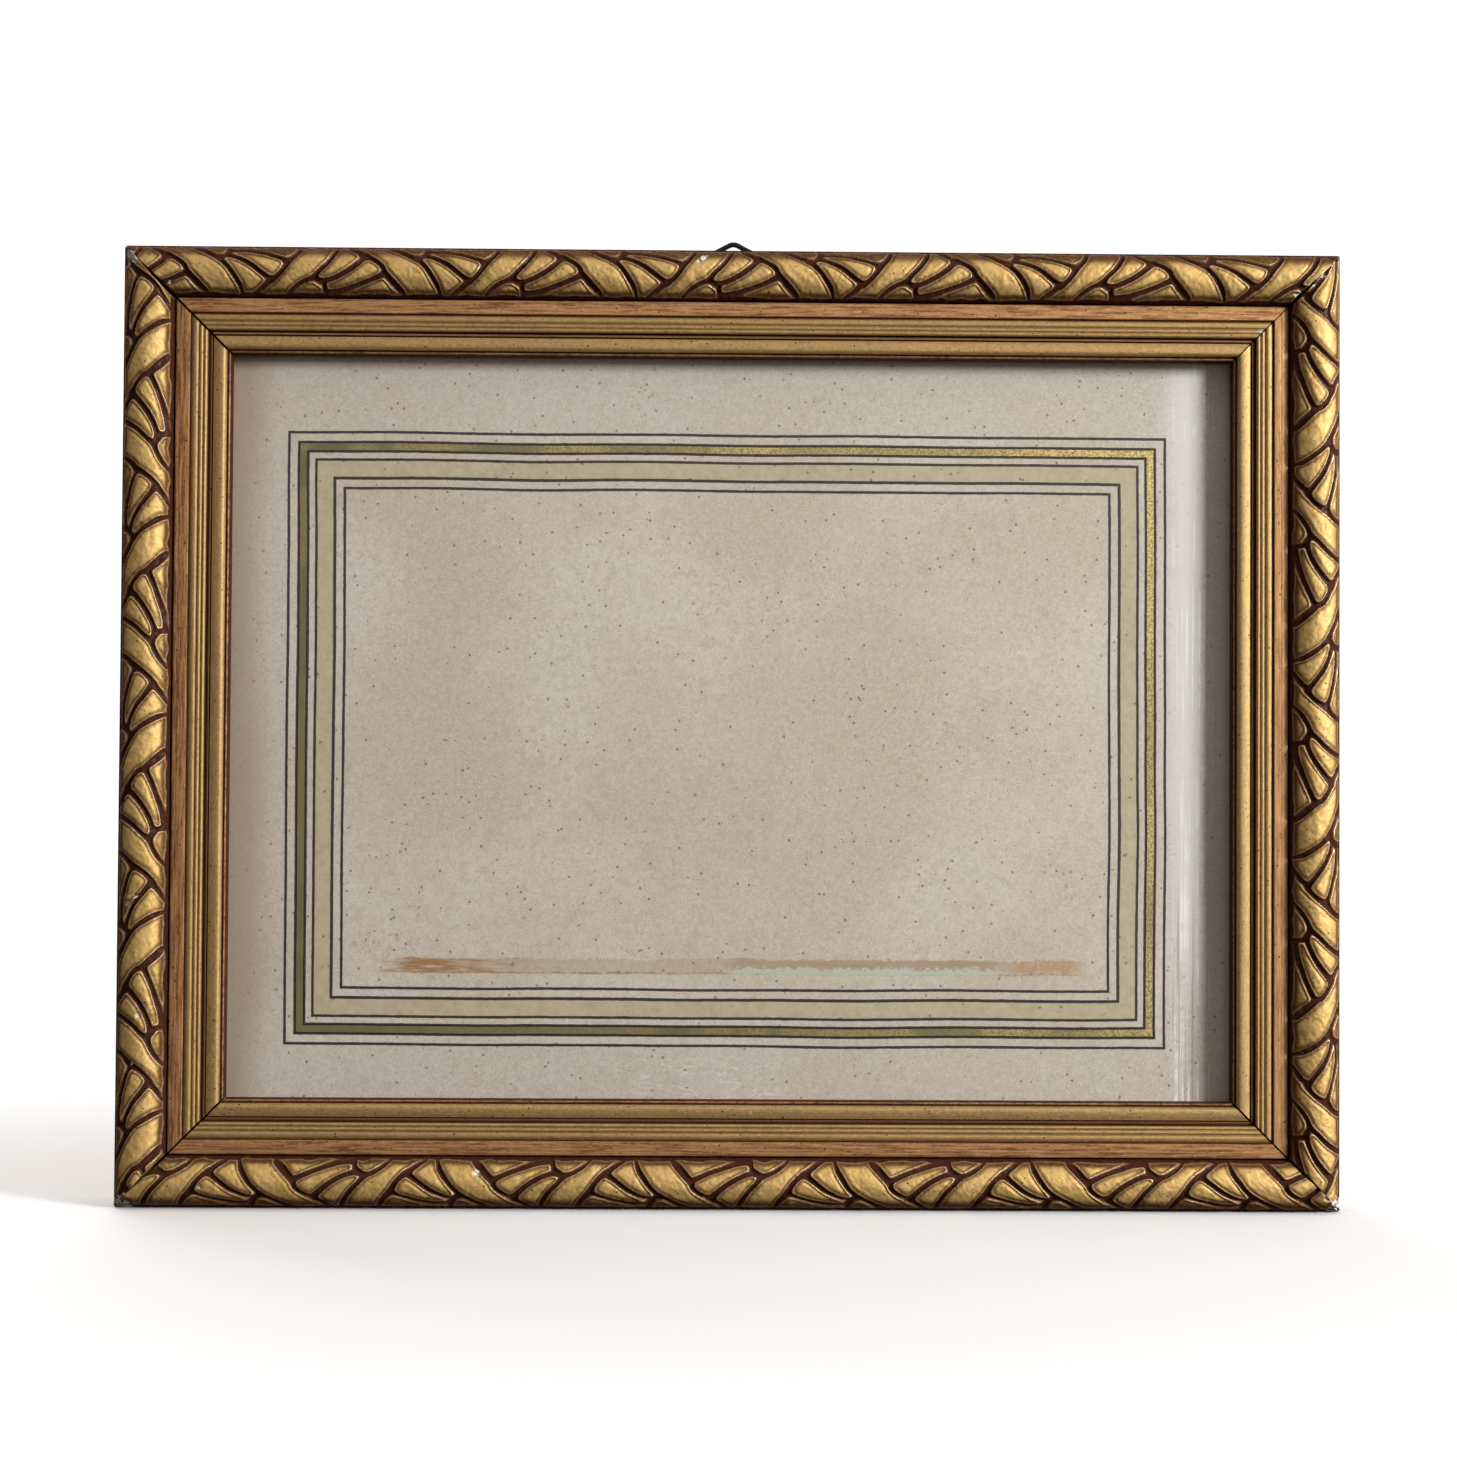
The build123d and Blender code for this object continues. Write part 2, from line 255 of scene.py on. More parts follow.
# Chips that show white gesso: (x from the left, z down from the top, radius).
CHIPS = (
    (1.6, 2.6, 1.4), (3.1, 3.9, 0.9), (0.7, 5.0, 0.7), (1.2, 218.6, 1.5),
    (3.4, 219.6, 0.9), (278.6, 218.3, 2.1), (276.0, 216.6, 0.6), (133.2, 2.1, 0.95),
    (131.9, 3.4, 0.5), (82.8, 211.0, 0.8), (20.5, 214.5, 0.5), (272.6, 7.6, 0.7), (269.3, 10.4, 0.6),
    (275.4, 5.2, 0.8), (4.3, 186.8, 0.6), (6.3, 176.0, 0.5), (3.2, 150.6, 0.6),
    (5.2, 149.0, 0.45), (1.5, 128.0, 0.5), (261.2, 17.8, 0.6), (11.4, 9.8, 0.5),
)


def chip_mask(points):
    """How far each place is chipped, for points in metres."""
    x = points[:, 0] / MM - LEFT
    z = TOP - points[:, 2] / MM
    ragged = 0.45 * value_noise(11, x * 1.7, z * 1.7) + 0.25 * value_noise(12, x * 4, z * 4)
    mask = np.zeros(len(points))
    for cx, cz, radius in CHIPS:
        away = np.hypot(x - cx, z - cz) / radius
        mask = np.maximum(mask, smoothstep(1.15, 0.8, away + ragged))
    return mask


# --- Rail meshes ---
def sweep_rail(name, rail, section, row_step):
    """A closed mesh of a section run along a rail, cut to its mitres.

    The section is a closed loop, and the mitre stands open at the front and is nearly
    shut at the back. Returns the object, and s, t and h at each vertex."""
    corner, along, inward, length = RAILS[rail]
    t, h = np.array(section).T
    (gap_start, sight_start), (gap_end, sight_end) = MITRE_GAP[rail]
    share = t / MOULDING_WIDTH
    opening = 0.03 + 0.97 * smoothstep(8.0, 13.0, h)
    start_gap = (gap_start + (sight_start - gap_start) * share) * opening
    end_gap = (gap_end + (sight_end - gap_end) * share) * opening
    s_start = t + start_gap * math.sqrt(2)
    s_end = length - t - end_gap * math.sqrt(2)
    rows = int(length / row_step)
    v = np.linspace(0, 1, rows + 1)[:, None]
    s = s_start + (s_end - s_start) * v
    n = len(t)
    t_all, h_all = np.tile(t, (rows + 1, 1)), np.tile(h, (rows + 1, 1))
    verts = (corner + s[..., None] * along + t_all[..., None] * inward
             + h_all[..., None] * FORWARD).reshape(-1, 3) * MM
    i = np.arange(rows)[:, None] * n
    j = np.arange(n)
    k = (j + 1) % n
    quads = np.stack((i + j, i + k, i + n + k, i + n + j), -1).reshape(-1, 4)
    faces = quads.tolist()
    faces.append(list(range(n))[::-1])
    faces.append(list(range(rows * n, rows * n + n)))
    obj = add_object(name, verts, faces)
    return obj, s.ravel(), t_all.ravel(), h_all.ravel()


def leaf_edge(rail, field, s, t, seed):
    """How far in from its leaf's edge each place lies, and negative in a channel.

    The hand-finished pattern wanders a little from repeat to repeat."""
    s_drift = s + 0.14 * value_noise(seed, s / 7, t / 5)
    t_drift = t + 0.10 * value_noise(seed + 1, s / 6, t / 4)
    edge = sample_field(field, s_drift - RAIL_PHASE[rail], t_drift)
    inner_lip = 11.80 + 0.22 * value_noise(seed + 2, s / 2.4, 0 * t) - t
    outer_lip = t - 0.48 - 0.12 * value_noise(seed + 3, s / 4, 0 * t)
    return np.minimum(edge + 0.04, np.minimum(inner_lip, outer_lip))


def relief_depth(edge, leaf, rim, s, t, seed):
    """How deep each place is sunk below the plain half round."""
    flank = (0.40 + 0.60 * smoothstep(0.2, 1.8, t)) * (0.28 + 0.72 * smoothstep(12.2, 9.8, t))
    dish = np.exp(-((edge - 0.72) / 0.28) ** 2)
    swell = np.exp(-np.maximum(edge, 0) / 0.85)
    sink = CHANNEL_DEPTH * flank * (1 - leaf)
    sink += leaf * flank * (0.70 * swell - 0.30 * rim + 0.12 * dish)
    sink += leaf * (0.10 + 0.10 * flank * smoothstep(1.1, 2.0, edge))
    sink += 0.08 * value_noise(seed + 4, s / 1.6, t / 1.3) + 0.05
    sink += 0.06 * value_noise(seed + 5, s / 0.6, t / 0.6)
    return sink


def build_ornament(rail, field):
    """The leaf relief along a rail's outer half round."""
    last = math.acos(ORNAMENT_END_T / ORNAMENT_HALF_WIDTH - 1)
    angles = np.linspace(math.pi, last, ORNAMENT_COLUMNS)
    t_arc = ORNAMENT_HALF_WIDTH * (1 + np.cos(angles))
    h_arc = TORUS_CENTRE_H + TORUS_RADIUS * np.sin(angles)
    section = list(zip(t_arc, h_arc))
    section += [(ORNAMENT_END_T - 0.1, ORNAMENT_SEAT_H), (0.05, ORNAMENT_SEAT_H)]
    obj, s, t, h = sweep_rail(f"ornament_{rail}", rail, section, ORNAMENT_ROW_STEP)
    rows = len(s) // len(section)
    on_arc = np.tile(np.arange(len(section)) < ORNAMENT_COLUMNS, rows)
    angle = np.tile(np.append(angles, (0, 0)), rows)

    seed = 100 + list(RAILS).index(rail) * 10
    edge = leaf_edge(rail, field, s, t, seed)
    leaf = smoothstep(-0.14, 0.14, edge)
    rim = np.exp(-((edge - 0.26) / 0.15) ** 2)
    places = read_places(obj)
    chip = chip_mask(places) * on_arc
    sink = relief_depth(edge, leaf, rim, s, t, seed)
    sink += chip * (0.45 + 0.15 * value_noise(seed + 6, s * 2, t * 2))
    sink = np.maximum(sink, 0.02) * on_arc
    inward = RAILS[rail][2]
    normal = np.cos(angle)[:, None] * inward + np.sin(angle)[:, None] * FORWARD
    write_places(obj, places - normal * sink[:, None] * MM)

    # Darker next to each channel's edge: dark glaze in the hollows, with painted shade.
    hollow = np.exp(-np.maximum(edge, 0) / 0.40) * (1 - 0.75 * rim)
    strength, reach = EDGE_GRIME_AND_SHADE[rail]
    # Painted shade, with some grime: darker on the half round's inner foot, where it turns from the
    # light, and along its outer edge, most on the top and bottom rails.
    foot = 0.78 * smoothstep(9.9, 11.9, t) + strength * smoothstep(reach, reach * 0.2, t)
    # The crest is lighter away from the channels and the darkened bands: a painted highlight over
    # rubbed gilding.
    add_attributes(obj, bole=(1 - smoothstep(-0.10, 0.14, edge)) * on_arc, rim=rim * leaf,
                   grime=np.clip(hollow + foot, 0, 1) * on_arc,
                   crest=smoothstep(0.05, 1.3, edge) * (1 - foot) * on_arc,
                   chip=chip, copper=np.zeros(len(s)),
                   run=np.stack((s + RUN_OFFSET[rail], t, h), -1))
    for end_face in obj.data.polygons[-2:]:
        end_face.material_index = ORNAMENT_END_SLOT
    return obj


def member_outline():
    """The plain members from the ornament to the sight wall: (t, h, dark bole, copper)."""
    def member(t0, t1, foot, rise, lean, squareness, copper, count):
        return [(t0 + (t1 - t0) * u,
                 foot + rise * math.sin(math.pi * u) ** squareness + lean * u, 0.0, copper)
                for u in np.linspace(0.0, 1.0, count)]

    outline = [(12.1, 13.5, 0.9, 0.8), (12.16, 13.95, 0.6, 1), (12.24, 14.3, 0.35, 1),
               (12.38, 14.42, 0.1, 1)]
    for u in np.linspace(0.08, 0.94, 18):
        t = 12.3 + 3.25 * u
        comb = 0.07 * math.exp(-((t - 13.15) / 0.09) ** 2)
        comb += 0.06 * math.exp(-((t - 13.95) / 0.10) ** 2)
        outline.append((t, 14.42 + 0.08 * math.sin(math.pi * u) + 0.26 * u - comb,
                        3.0 * comb, 1))
    outline += [(15.5, 14.5, 0.3, 0.9), (15.57, 14.12, 0.8, 0.6), (15.74, 14.05, 0.8, 0.3),
                (15.84, 14.2, 0.4, 0)]
    outline += member(15.9, 17.34, 13.96, 0.42, 0.22, 0.40, 0.1, 13)
    outline += [(17.42, 14.06, 0.42, 0), (17.52, 14.06, 0.42, 0)]
    outline += member(17.58, 18.5, 14.0, 0.40, 0.02, 0.50, 0.0, 10)
    outline += [(18.58, 14.0, 0.3, 0)]
    outline += member(18.64, 19.46, 14.0, 0.42, -0.04, 0.52, 0.0, 10)
    outline += [(19.52, 13.5, 0.9, 0), (19.58, 12.95, 1, 0), (19.78, 12.92, 1, 0),
                (19.88, 13.1, 0.4, 0.4), (20.34, 13.4, 0.1, 0.3), (20.42, 13.0, 1, 0),
                (20.66, 12.98, 1, 0), (20.74, 13.3, 0.6, 0)]
    outline += [(20.86, 13.3, 0, 0), (21.04, 13.41, 0, 0), (21.4, 13.53, 0, 0),
                (21.9, 13.65, 0, 0), (22.4, 13.72, 0, 0), (22.85, 13.72, 0, 0),
                (23.12, 13.65, 0, 0), (23.34, 13.50, 0, 0), (23.5, 13.26, 0, 0),
                (23.62, 12.95, 0, 0), (23.7, 12.65, 0.5, 0), (23.76, 12.35, 1, 0),
                (23.94, 12.2, 0.9, 0), (24.04, 12.38, 0.5, 0.6), (24.22, 12.46, 0.42, 0.7),
                (24.42, 12.32, 0.46, 0.6), (24.54, 11.9, 0.7, 0), (24.6, 11.3, 1, 0)]
    outline += [(24.6, 10.4, 1, 0), (24.6, REBATE_FLOOR_H, 1, 0)]
    return outline


def weather_wood(obj, s, t, h, gilded, on_front, seed):
    """Moves a rail body's places, as planed wood and drawn gesso are never dead straight."""
    places = read_places(obj)
    wander = 0.05 * value_noise(seed, s / 14, t / 3) + 0.03 * value_noise(seed + 1, s / 3, t)
    places += (FORWARD * ((wander - 0.05) * on_front)[:, None]) * MM
    on_back = ~gilded & (h < 0.3) & (t > 0.5)
    dips = 0.12 * smoothstep(0.2, 0.9, value_noise(seed + 2, s / 9, t / 2.2))
    places += (FORWARD * (dips * on_back)[:, None]) * MM
    write_places(obj, places)
    return places


def build_rail_body(rail):
    """The wood of a rail: its plain members, back, rebate and outer side."""
    front = member_outline()
    seat = [(0.0, 12.6), (0.02, 12.85), (0.3, 12.95), (12.02, 12.95)]
    back = [(REBATE_WALL_T, h) for h in (REBATE_FLOOR_H, 6.0, 3.0, 0.25)]
    back += [(t, 0.0) for t in (REBATE_WALL_T - 0.25, 16.0, 12.0, 8.0, 4.0, 0.6)]
    side = [(0.18, 0.16)] + [(0.0, h) for h in (0.6, 2.5, 4.5, 6.5, 8.5, 10.5, 11.8)]
    section = seat + [(t, h) for t, h, _, _ in front] + back + side
    obj, s, t, h = sweep_rail(f"moulding_{rail}", rail, section, BODY_ROW_STEP)

    columns, gilded_columns = len(section), len(seat) + len(front)
    rows = len(s) // columns
    bare = [0.0] * (len(back) + len(side))
    bole = np.tile([0.6] * len(seat) + [b for _, _, b, _ in front] + bare, rows)
    tone = FILLET_COPPER[rail]
    copper = np.tile([0.0] * len(seat) + [c * tone for _, _, _, c in front] + bare, rows)
    gilded = np.tile(np.arange(columns) < gilded_columns, rows)
    on_front = gilded & (t > 12.15) & (t < 24.0)
    seed = 500 + list(RAILS).index(rail) * 10
    places = weather_wood(obj, s, t, h, gilded, on_front, seed)
    obj.data.set_sharp_from_angle(angle=SHARP_ANGLE)
    # The grooves are darkened with grime and painted shade, and the fronts get a faint painted
    # highlight along their rims.
    add_attributes(obj, bole=bole, copper=copper, rim=np.where(on_front, 0.35, 0.0),
                   grime=np.clip(bole, 0, 1) * 0.5, crest=np.full(len(s), 0.58),
                   chip=chip_mask(places) * gilded * 0.9,
                   run=np.stack((s + RUN_OFFSET[rail], t, h), -1))

    face_column = np.arange(len(obj.data.polygons)) % columns
    slots = np.full(len(face_column), GILT_SLOT)
    slots[face_column >= gilded_columns - 1] = BACK_SLOT
    slots[face_column >= columns - len(side) + 1] = SIDE_SLOT
    slots[-2:] = SIDE_SLOT
    obj.data.polygons.foreach_set("material_index", slots)
    return obj


def recess_cutter(rail):
    """Two short cylinders across the ends of a rail's outer side."""
    corner, along, inward, length = RAILS[rail]
    turns = np.linspace(0, 2 * math.pi, 32, endpoint=False)
    n = len(turns)
    around = np.arange(n)
    after = np.roll(around, -1)
    verts, faces = [], []
    for s in (NAIL_FROM_CORNER, length - NAIL_FROM_CORNER):
        base = len(verts)
        for t in (NAIL_RECESS_DEPTH, -0.5):
            for turn in turns:
                h = NAIL_HEIGHT[rail] + NAIL_RECESS_RADIUS * math.sin(turn)
                place = corner + (s + NAIL_RECESS_RADIUS * math.cos(turn)) * along
                verts.append((place + t * inward + h * FORWARD) * MM)
        faces.append((base + around).tolist())
        faces.append((base + n + around[::-1]).tolist())
        sides = np.stack((around, around + n, after + n, after), -1) + base
        faces += sides.tolist()
    cutter = add_object("nail_recess_cutter", verts, faces, smooth=False)
    cutter.data.polygons.foreach_set("material_index", [BACK_SLOT] * len(faces))
    shape = bmesh.new()
    shape.from_mesh(cutter.data)
    bmesh.ops.recalc_face_normals(shape, faces=shape.faces)
    shape.to_mesh(cutter.data)
    shape.free()
    return cutter


def bore_nail_recesses(moulding, rail):
    """Sinks a round recess over each mitre nail's head in the rail's outer side."""
    cutter = recess_cutter(rail)
    cut = moulding.modifiers.new("recesses", "BOOLEAN")
    cut.operation = "DIFFERENCE"
    cut.solver = "MANIFOLD"
    cut.object = cutter
    bored = bpy.data.meshes.new_from_object(
        moulding.evaluated_get(bpy.context.evaluated_depsgraph_get()))
    bored.set_sharp_from_angle(angle=SHARP_ANGLE)
    moulding.modifiers.clear()
    moulding.data = bored
    bpy.data.objects.remove(cutter)


# --- Material nodes ---
class Value:
    """A shader socket that can be used in sums, so that a pattern reads as a formula."""

    def __init__(self, tree, socket):
        self.tree = tree
        self.socket = socket

    def _math(self, operation, *others):
        node = self.tree.nodes.new("ShaderNodeMath")
        node.operation = operation
        self.tree.links.new(self.socket, node.inputs[0])
        for slot, other in enumerate(others, 1):
            if isinstance(other, Value):
                self.tree.links.new(other.socket, node.inputs[slot])
            else:
                node.inputs[slot].default_value = other
        return Value(self.tree, node.outputs[0])

    def __add__(self, other):
        return self._math("ADD", other)

    def __sub__(self, other):
        return self._math("SUBTRACT", other)

    def __mul__(self, other):
        return self._math("MULTIPLY", other)

    def __rsub__(self, other):
        return self._math("MULTIPLY", -1.0) + other

    __radd__ = __add__

    def abs(self):
        return self._math("ABSOLUTE")

    def max(self, other):
        return self._math("MAXIMUM", other)

    def min(self, other):
        return self._math("MINIMUM", other)

    def clamp(self):
        return self.max(0.0).min(1.0)

    def step(self, low, high):
        """0 below low and 1 above high, or the other way if low is the higher."""
        return self.remap(low, high, 0.0, 1.0)

    def remap(self, low, high, start, end):
        node = self.tree.nodes.new("ShaderNodeMapRange")
        node.interpolation_type = "SMOOTHSTEP"
        node.clamp = True
        flip = low > high
        bounds = (high, low, end, start) if flip else (low, high, start, end)
        self.tree.links.new(self.socket, node.inputs[0])
        for slot, bound in enumerate(bounds, 1):
            node.inputs[slot].default_value = bound
        return Value(self.tree, node.outputs[0])


class Look:
    """A material under construction, with short calls for the nodes it needs."""

    def __init__(self, name):
        self.material = bpy.data.materials.new(name)
        self.material.use_nodes = True
        self.tree = self.material.node_tree
        self.tree.nodes.clear()
        self.output = self.tree.nodes.new("ShaderNodeOutputMaterial")
        self.shader = self.tree.nodes.new("ShaderNodeBsdfPrincipled")
        self.tree.links.new(self.shader.outputs[0], self.output.inputs[0])

    def attribute(self, name, vector=False):
        node = self.tree.nodes.new("ShaderNodeAttribute")
        node.attribute_name = name
        socket = node.outputs["Vector"] if vector else node.outputs["Fac"]
        return Value(self.tree, socket)

    def object_place(self):
        """The place in millimetres in the frame's own axes."""
        node = self.tree.nodes.new("ShaderNodeTexCoord")
        return self.scaled(Value(self.tree, node.outputs["Object"]), (1000, 1000, 1000))

    def scaled(self, vector, scale):
        node = self.tree.nodes.new("ShaderNodeVectorMath")
        node.operation = "MULTIPLY"
        self.tree.links.new(vector.socket, node.inputs[0])
        node.inputs[1].default_value = scale
        return Value(self.tree, node.outputs[0])

    def split(self, vector):
        node = self.tree.nodes.new("ShaderNodeSeparateXYZ")
        self.tree.links.new(vector.socket, node.inputs[0])
        return [Value(self.tree, socket) for socket in node.outputs]

    def noise(self, vector, scale, detail=2.0, rough=0.5, stretch=None):
        """Noise about 0.5, with scale in features to a millimetre."""
        if stretch:
            vector = self.scaled(vector, stretch)
        node = self.tree.nodes.new("ShaderNodeTexNoise")
        node.inputs["Scale"].default_value = scale
        node.inputs["Detail"].default_value = detail
        node.inputs["Roughness"].default_value = rough
        self.tree.links.new(vector.socket, node.inputs["Vector"])
        return Value(self.tree, node.outputs["Fac"])

    def specks(self, vector, scale, stretch=None):
        """Distance from scattered points, for spots and fibres."""
        if stretch:
            vector = self.scaled(vector, stretch)
        node = self.tree.nodes.new("ShaderNodeTexVoronoi")
        node.inputs["Scale"].default_value = scale
        self.tree.links.new(vector.socket, node.inputs["Vector"])
        return Value(self.tree, node.outputs["Distance"])

    def mix(self, amount, first, second):
        """A colour between two, each a colour or an earlier mix."""
        node = self.tree.nodes.new("ShaderNodeMix")
        node.data_type = "RGBA"
        node.clamp_factor = True
        factor, a, b = node.inputs["Factor"], node.inputs[6], node.inputs[7]
        if isinstance(amount, Value):
            self.tree.links.new(amount.socket, factor)
        else:
            factor.default_value = amount
        for slot, colour in ((a, first), (b, second)):
            if isinstance(colour, Value):
                self.tree.links.new(colour.socket, slot)
            else:
                slot.default_value = (*colour, 1.0)
        return Value(self.tree, node.outputs[2])

    def bump(self, height, distance_mm, strength=1.0):
        node = self.tree.nodes.new("ShaderNodeBump")
        node.inputs["Strength"].default_value = strength
        node.inputs["Distance"].default_value = distance_mm * MM
        self.tree.links.new(height.socket, node.inputs["Height"])
        self.tree.links.new(node.outputs[0], self.shader.inputs["Normal"])

    def set(self, **values):
        for name, value in values.items():
            socket = self.shader.inputs[name.replace("_", " ").title().replace("Ior", "IOR")]
            if isinstance(value, Value):
                self.tree.links.new(value.socket, socket)
            elif isinstance(value, tuple):
                socket.default_value = (*value, 1.0)
            else:
                socket.default_value = value
        return self.material


def copper_tone(look, run, grain, mottle):
    """The fillet's redder leaf, streaked and scratched along the rail."""
    streak = look.noise(run, 1.5, 5.0, 0.66, stretch=(0.06, 1.0, 1.0))
    warm = look.mix(streak.step(0.36, 0.58), (0.21, 0.082, 0.035), (0.475, 0.262, 0.115))
    warm = look.mix(grain.step(0.5, 0.7) * 0.5, warm, (0.64, 0.42, 0.215))
    scratch = look.noise(run, 2.4, 3.0, 0.6, stretch=(0.10, 1.0, 1.0))
    scratch = (scratch - 0.5).abs().step(0.020, 0.006) * mottle.step(0.44, 0.58)
    return look.mix(scratch * 0.6, warm, (0.10, 0.035, 0.018))


def gilt_look():
    """Worn metal leaf over dark red bole, white gesso where chipped, painted shade and highlights.
    """
    look = Look("gilt")
    run = look.attribute("run", vector=True)
    bole = look.attribute("bole")
    rim = look.attribute("rim")
    grime = look.attribute("grime")
    copper = look.attribute("copper")
    chip = look.attribute("chip")
    crest = look.attribute("crest")
    cloud = look.noise(run, 0.16, 3.0, 0.6)
    mottle = look.noise(run, 1.1, 4.0, 0.65)
    grain = look.noise(run, 2.6, 4.0, 0.6, stretch=(0.22, 1.0, 1.0))
    fine = look.noise(run, 5.5, 3.0, 0.7)
    pits = look.specks(run, 0.62).step(0.19, 0.09) * mottle.step(0.46, 0.56)
    brushed = look.noise(run, 1.9, 3.0, 0.6, stretch=(0.5, 1.0, 1.0))
    grit = look.noise(run, 3.1, 2.0, 0.8)
    # Lighter on the crests, as rubbed gilding and a painted highlight, and darker where grime and
    # painted shade lie.
    height = crest * 0.80 + mottle * 0.42 + brushed * 0.30 + grit * 0.62
    leaf = look.mix(height.step(0.80, 1.58), (0.17, 0.082, 0.026), (0.645, 0.458, 0.182))
    leaf = look.mix(cloud.step(0.42, 0.68) * 0.4, leaf, (0.43, 0.285, 0.085))
    # Painted highlight, with rubbed gilding: bright lines along the raised rims of the leaves and
    # members.
    leaf = look.mix(rim * rim * fine.step(0.3, 0.5) * 0.85, leaf, (0.94, 0.76, 0.46))
    leaf = look.mix(copper, leaf, copper_tone(look, run, grain, mottle))
    # Grime and painted shade darken the hollows, the foot and the outer edge of the half round.
    leaf = look.mix(grime * (0.45 + mottle * 0.7), leaf, (0.105, 0.045, 0.018))
    leaf = look.mix(pits, leaf, (0.06, 0.03, 0.015))
    dark = look.mix(fine.step(0.35, 0.75), (0.022, 0.006, 0.0035), (0.085, 0.024, 0.012))
    sunk = (bole + (mottle - 0.5) * 0.5).step(0.36, 0.62)
    colour = look.mix(sunk, leaf, dark)
    gesso = look.mix(mottle.step(0.4, 0.62), (0.36, 0.35, 0.32), (0.66, 0.67, 0.65))
    bare = (chip + (fine - 0.5) * 0.6).step(0.42, 0.6)
    colour = look.mix(bare, colour, gesso)

    metal = (1.0 - sunk) * (1.0 - bare) * (0.80 - copper * 0.15)
    rough = 0.58 + mottle * 0.20 + grime * 0.08 + sunk * 0.1 + bare * 0.2 - rim * 0.14
    look.bump(grain * 0.5 + grit * 0.6 + mottle * 0.5, 0.06, 0.9)
    return look.set(base_color=colour, metallic=metal, roughness=rough,
                    specular_ior_level=0.06, coat_weight=0.10, coat_roughness=0.33)


def raw_wood_look(name, light, dark, axis_stretch, vector_name=None):
    """Bare old timber with long grain, pores and dirt."""
    look = Look(name)
    place = look.attribute(vector_name, vector=True) if vector_name else look.object_place()
    rings = look.noise(place, 0.55, 5.0, 0.62, stretch=axis_stretch)
    pores = look.noise(place, 3.4, 3.0, 0.6, stretch=axis_stretch)
    stain = look.noise(place, 0.035, 4.0, 0.6)
    colour = look.mix(rings.step(0.32, 0.68), dark, light)
    colour = look.mix(pores.step(0.58, 0.72) * 0.55, colour, tuple(c * 0.35 for c in dark))
    colour = look.mix(stain.step(0.45, 0.72) * 0.5, colour, tuple(c * 0.55 for c in dark))
    look.bump(rings * 0.6 + pores * 0.6, 0.16, 0.9)
    return look.set(base_color=colour, roughness=0.62 + pores * 0.25)


def side_look():
    """Thin brown-gold bronze paint rubbed over the outer sides."""
    look = Look("side_paint")
    run = look.attribute("run", vector=True)
    streak = look.noise(run, 0.9, 5.0, 0.65, stretch=(0.12, 1.0, 1.0))
    blotch = look.noise(run, 0.10, 3.0, 0.6)
    colour = look.mix(streak.step(0.3, 0.7), (0.075, 0.040, 0.018), (0.23, 0.145, 0.06))
    colour = look.mix(blotch.step(0.5, 0.72) * 0.6, colour, (0.045, 0.020, 0.011))
    metal = streak.step(0.45, 0.7) * 0.45
    look.bump(streak, 0.10, 0.8)
    return look.set(base_color=colour, metallic=metal, roughness=0.46 + streak * 0.2)


# The ruled mount: its outer line's rectangle, as places from the frame's top left, then
# each line's inset and half width, what lies between two lines, and the glue stain.
RULE_LEFT, RULE_RIGHT, RULE_TOP, RULE_FOOT = 37.2, 240.8, 41.9, 183.5
RULES = ((0.0, 0.33), (2.3, 0.32), (4.5, 0.32), (6.4, 0.33), (10.7, 0.37), (13.0, 0.33))
GOLD_STRIP = (2.3, 4.5)
WASH_BAND = (6.4, 10.7)
STAIN_LEFT, STAIN_RIGHT, STAIN_TOP, STAIN_FOOT = 63.0, 221.0, 163.3, 167.0


def card_places(look):
    """Places on the card from the frame's top left, inset from the outer rule, and noises."""
    place = look.object_place()
    px, _, pz = look.split(place)
    x = px - LEFT
    z = TOP - pz
    wander = (look.noise(place, 0.025, 1.0) - 0.5) * 0.9
    shiver = (look.noise(place, 0.9, 2.0) - 0.5) * 0.16
    half_x, half_z = (RULE_RIGHT - RULE_LEFT) / 2, (RULE_FOOT - RULE_TOP) / 2
    from_side = half_x - (x - (RULE_LEFT + RULE_RIGHT) / 2).abs()
    from_foot = half_z - (z - (RULE_TOP + RULE_FOOT) / 2).abs()
    inset = from_side.min(from_foot) + wander + shiver
    return SimpleNamespace(
        place=place, x=x, z=z, inset=inset,
        cloud=look.noise(place, 0.018, 3.0, 0.55), mottle=look.noise(place, 0.55, 4.0, 0.6),
        fibre=look.noise(place, 2.4, 3.0, 0.7), crumbs=look.noise(place, 0.9, 4.0, 0.7))


def squared_distance(x, z, centre_x, centre_z):
    """How far a place on the card is from another, squared."""
    return (x - centre_x) * (x - centre_x) + (z - centre_z) * (z - centre_z)


def paper_colour(look, at):
    """Toned pulp paper with its tooth and fibres, and the wash band painted on it."""
    cloud, mottle, fibre, inset = at.cloud, at.mottle, at.fibre, at.inset
    tooth = look.noise(at.place, 1.15, 3.0, 0.7)
    paper = look.mix(cloud.step(0.35, 0.65), (0.550, 0.474, 0.402), (0.617, 0.560, 0.502))
    margin = (inset * -1.0).step(-0.2, 0.4)
    paper = look.mix(margin * 0.6, paper, (0.545, 0.498, 0.445))
    paper = look.mix(mottle.step(0.42, 0.70) * 0.30, paper, (0.42, 0.34, 0.25))
    paper = look.mix(fibre.step(0.50, 0.66) * 0.34, paper, (0.33, 0.26, 0.195))
    paper = look.mix(fibre.step(0.48, 0.36) * 0.35, paper, (0.72, 0.66, 0.58))
    paper = look.mix(tooth.step(0.50, 0.64) * 0.19, paper, (0.36, 0.29, 0.22))
    paper = look.mix(tooth.step(0.48, 0.36) * 0.22, paper, (0.74, 0.69, 0.62))

    inside_wash = inset.step(WASH_BAND[0], WASH_BAND[0] + 0.1)
    inside_wash = inside_wash * inset.step(WASH_BAND[1], WASH_BAND[1] - 0.1)
    pooled = mottle.step(0.25, 0.75)
    wash = look.mix(pooled, (0.43, 0.36, 0.235), (0.53, 0.46, 0.325))
    return look.mix(inside_wash * 0.92, paper, wash)


